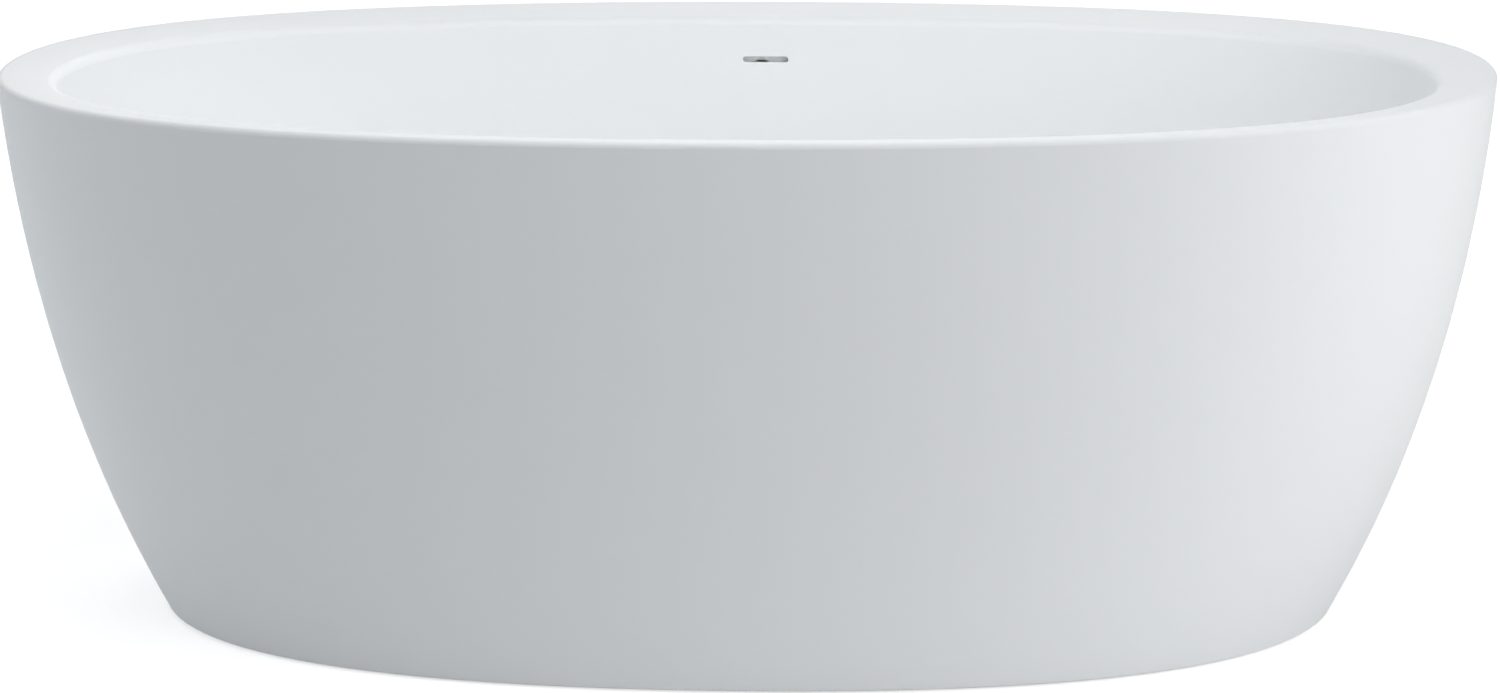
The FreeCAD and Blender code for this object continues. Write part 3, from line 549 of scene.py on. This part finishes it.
def walk(points, step):
    """Places and directions at even steps along a line of points."""
    places, left = [], 0.0
    for first, second in zip(points, points[1:]):
        run = second - first
        ahead = run.normalized()
        while left <= run.length:
            places.append((first + ahead * left, ahead))
            left += step
        left -= run.length
    return places


def make_hose():
    """The overflow hose: corrugated along its run, plain under its clips."""
    spacing = HOSE_RIB_PITCH / HOSE_RIB_STEPS
    line = walk(hose_line(), spacing)
    last = len(line) - 1
    cuff = round(HOSE_CUFF / spacing)
    rings = []
    for index, (place, ahead) in enumerate(line):
        ribbed = cuff < index < last - cuff
        wave = 0.5 - 0.5 * math.cos(2 * math.pi * index / HOSE_RIB_STEPS)
        rings.append((place, ahead, HOSE_RADIUS - (HOSE_RIB_DEPTH * wave if ribbed else 0.0)))
    inside = [line[-1], *line[-2:0:-HOSE_RIB_STEPS], line[0]]
    rings += [(place, ahead, HOSE_RADIUS - HOSE_WALL) for place, ahead in inside]
    vertices = []
    for place, ahead, radius in rings:
        across = Vector((1, 0, 0))
        beside = ahead.cross(across).normalized()
        across = beside.cross(ahead)
        for step in range(HOSE_SIDES):
            turn = 2 * math.pi * step / HOSE_SIDES
            vertices.append(place + (across * math.cos(turn) + beside * math.sin(turn)) * radius)
    faces = loops_to_faces(len(rings), HOSE_SIDES, True)
    stand_in("overflow_hose_corrugated", vertices, faces, "overflow_hose")


make_nuts()
make_socket_end()
for stud in [name for name in NODES if name.endswith("_stud")]:
    threaded_stud(stud)
make_hose()

# Studio ------------------------------------------------------------------------------------

SURROUND_COLOUR = (0.98, 1.0, 1.02, 1.0)
SURROUND_LIGHT = 0.15
FLOOR_COLOUR = (0.8, 0.8, 0.8, 1.0)
FLOOR_HALF = 12.0
FLOOR_LEVEL = -0.0005  # just below the pads, so that no two faces share a plane
GLOW_FROM, GLOW_TO = 0.8, 2.2  # from the bath's middle outwards, where the floor turns white
GLOW_NEAR, GLOW_FAR = 0.6, 1.0  # how strongly it glows there
LOOK_AT = (0.0, 0.0, 0.3)
COOL = (0.95, 1.0, 1.04)


def seen_directly(nodes, links):
    """1 for camera, glossy and transmission rays, 0 for the rays that light the object."""
    path = nodes.new("ShaderNodeLightPath")
    first = nodes.new("ShaderNodeMath")
    first.operation = "MAXIMUM"
    second = nodes.new("ShaderNodeMath")
    second.operation = "MAXIMUM"
    links.new(path.outputs["Is Camera Ray"], first.inputs[0])
    links.new(path.outputs["Is Glossy Ray"], first.inputs[1])
    links.new(first.outputs[0], second.inputs[0])
    links.new(path.outputs["Is Transmission Ray"], second.inputs[1])
    return second.outputs[0]


def make_world():
    """An even pale surround that looks white but lights the object softly."""
    world = bpy.data.worlds.new("studio")
    bpy.context.scene.world = world
    world.use_nodes = True
    nodes, links = world.node_tree.nodes, world.node_tree.links
    background = nodes["Background"]
    background.inputs["Color"].default_value = SURROUND_COLOUR
    strength = nodes.new("ShaderNodeMapRange")
    strength.inputs["To Min"].default_value = SURROUND_LIGHT
    strength.inputs["To Max"].default_value = 1.0
    links.new(seen_directly(nodes, links), strength.inputs["Value"])
    links.new(strength.outputs["Result"], background.inputs["Strength"])


def make_floor():
    """A plain white floor that keeps the bath's soft shadow."""
    mesh = bpy.data.meshes.new("floor")
    corners = [(FLOOR_HALF * x, FLOOR_HALF * y, FLOOR_LEVEL)
               for x, y in ((-1, -1), (1, -1), (1, 1), (-1, 1))]
    mesh.from_pydata(corners, [], [(0, 1, 2, 3)])
    floor = bpy.data.objects.new("floor", mesh)
    bpy.context.scene.collection.objects.link(floor)
    material = bpy.data.materials.new("floor")
    material.use_nodes = True
    nodes, links = material.node_tree.nodes, material.node_tree.links
    nodes.clear()
    output = nodes.new("ShaderNodeOutputMaterial")
    plain = nodes.new("ShaderNodeBsdfDiffuse")
    plain.inputs["Color"].default_value = FLOOR_COLOUR
    glow = nodes.new("ShaderNodeEmission")
    place = nodes.new("ShaderNodeTexCoord")
    reach = nodes.new("ShaderNodeVectorMath")
    reach.operation = "LENGTH"
    fade = nodes.new("ShaderNodeMapRange")
    for socket, number in (("From Min", GLOW_FROM), ("From Max", GLOW_TO),
                           ("To Min", GLOW_NEAR), ("To Max", GLOW_FAR)):
        fade.inputs[socket].default_value = number
    links.new(place.outputs["Object"], reach.inputs[0])
    links.new(reach.outputs["Value"], fade.inputs["Value"])
    links.new(fade.outputs["Result"], glow.inputs["Strength"])
    lit = nodes.new("ShaderNodeAddShader")
    choose = nodes.new("ShaderNodeMixShader")
    links.new(plain.outputs[0], lit.inputs[0])
    links.new(glow.outputs[0], lit.inputs[1])
    links.new(seen_directly(nodes, links), choose.inputs[0])
    links.new(plain.outputs[0], choose.inputs[1])
    links.new(lit.outputs[0], choose.inputs[2])
    links.new(choose.outputs[0], output.inputs["Surface"])
    floor.data.materials.append(material)


def make_lamp(name, place, aim, width, height, power, colour=(1.0, 1.0, 1.0), spread=math.pi):
    """A soft rectangular lamp that faces a point; a gridded one has a smaller spread."""
    lamp = bpy.data.lights.new(name, "AREA")
    lamp.shape = "RECTANGLE"
    lamp.size = width
    lamp.size_y = height
    lamp.energy = power
    lamp.color = colour
    lamp.spread = spread
    holder = bpy.data.objects.new(name, lamp)
    holder.visible_camera = False
    bpy.context.scene.collection.objects.link(holder)
    turn = (Vector(place) - Vector(aim)).to_track_quat("Z", "Y").to_matrix().to_4x4()
    holder.matrix_world = Matrix.Translation(place) @ turn


make_world()
make_floor()
make_lamp("key", (2.8, -2.8, 1.8), LOOK_AT, 2.0, 2.0, 41.9)
make_lamp("right_low", (2.1, -0.8, 0.6), (0.5, 0.0, 0.3), 1.0, 1.0, 7.7)
make_lamp("left_low", (-2.4, -0.4, 0.6), LOOK_AT, 1.2, 1.0, 9.0, COOL)
make_lamp("front_high", (0.0, -3.0, 2.5), LOOK_AT, 2.5, 2.0, 12.8, COOL)
make_lamp("back_high", (0.0, 2.6, 2.2), LOOK_AT, 2.5, 1.5, 29.5)
make_lamp("over_well", (0.0, -0.35, 1.9), (0.0, 0.1, 0.3), 1.5, 0.5, 11.2)
# This lamp's aim is a hair off plumb, which lays its long side along the bath.
make_lamp("into_well", (-0.1, 0.0, 2.2), (-0.1, 0.0001, 0.15), 1.2, 0.3, 0.38, spread=0.3)

bpy.context.scene.view_settings.view_transform = "Standard"
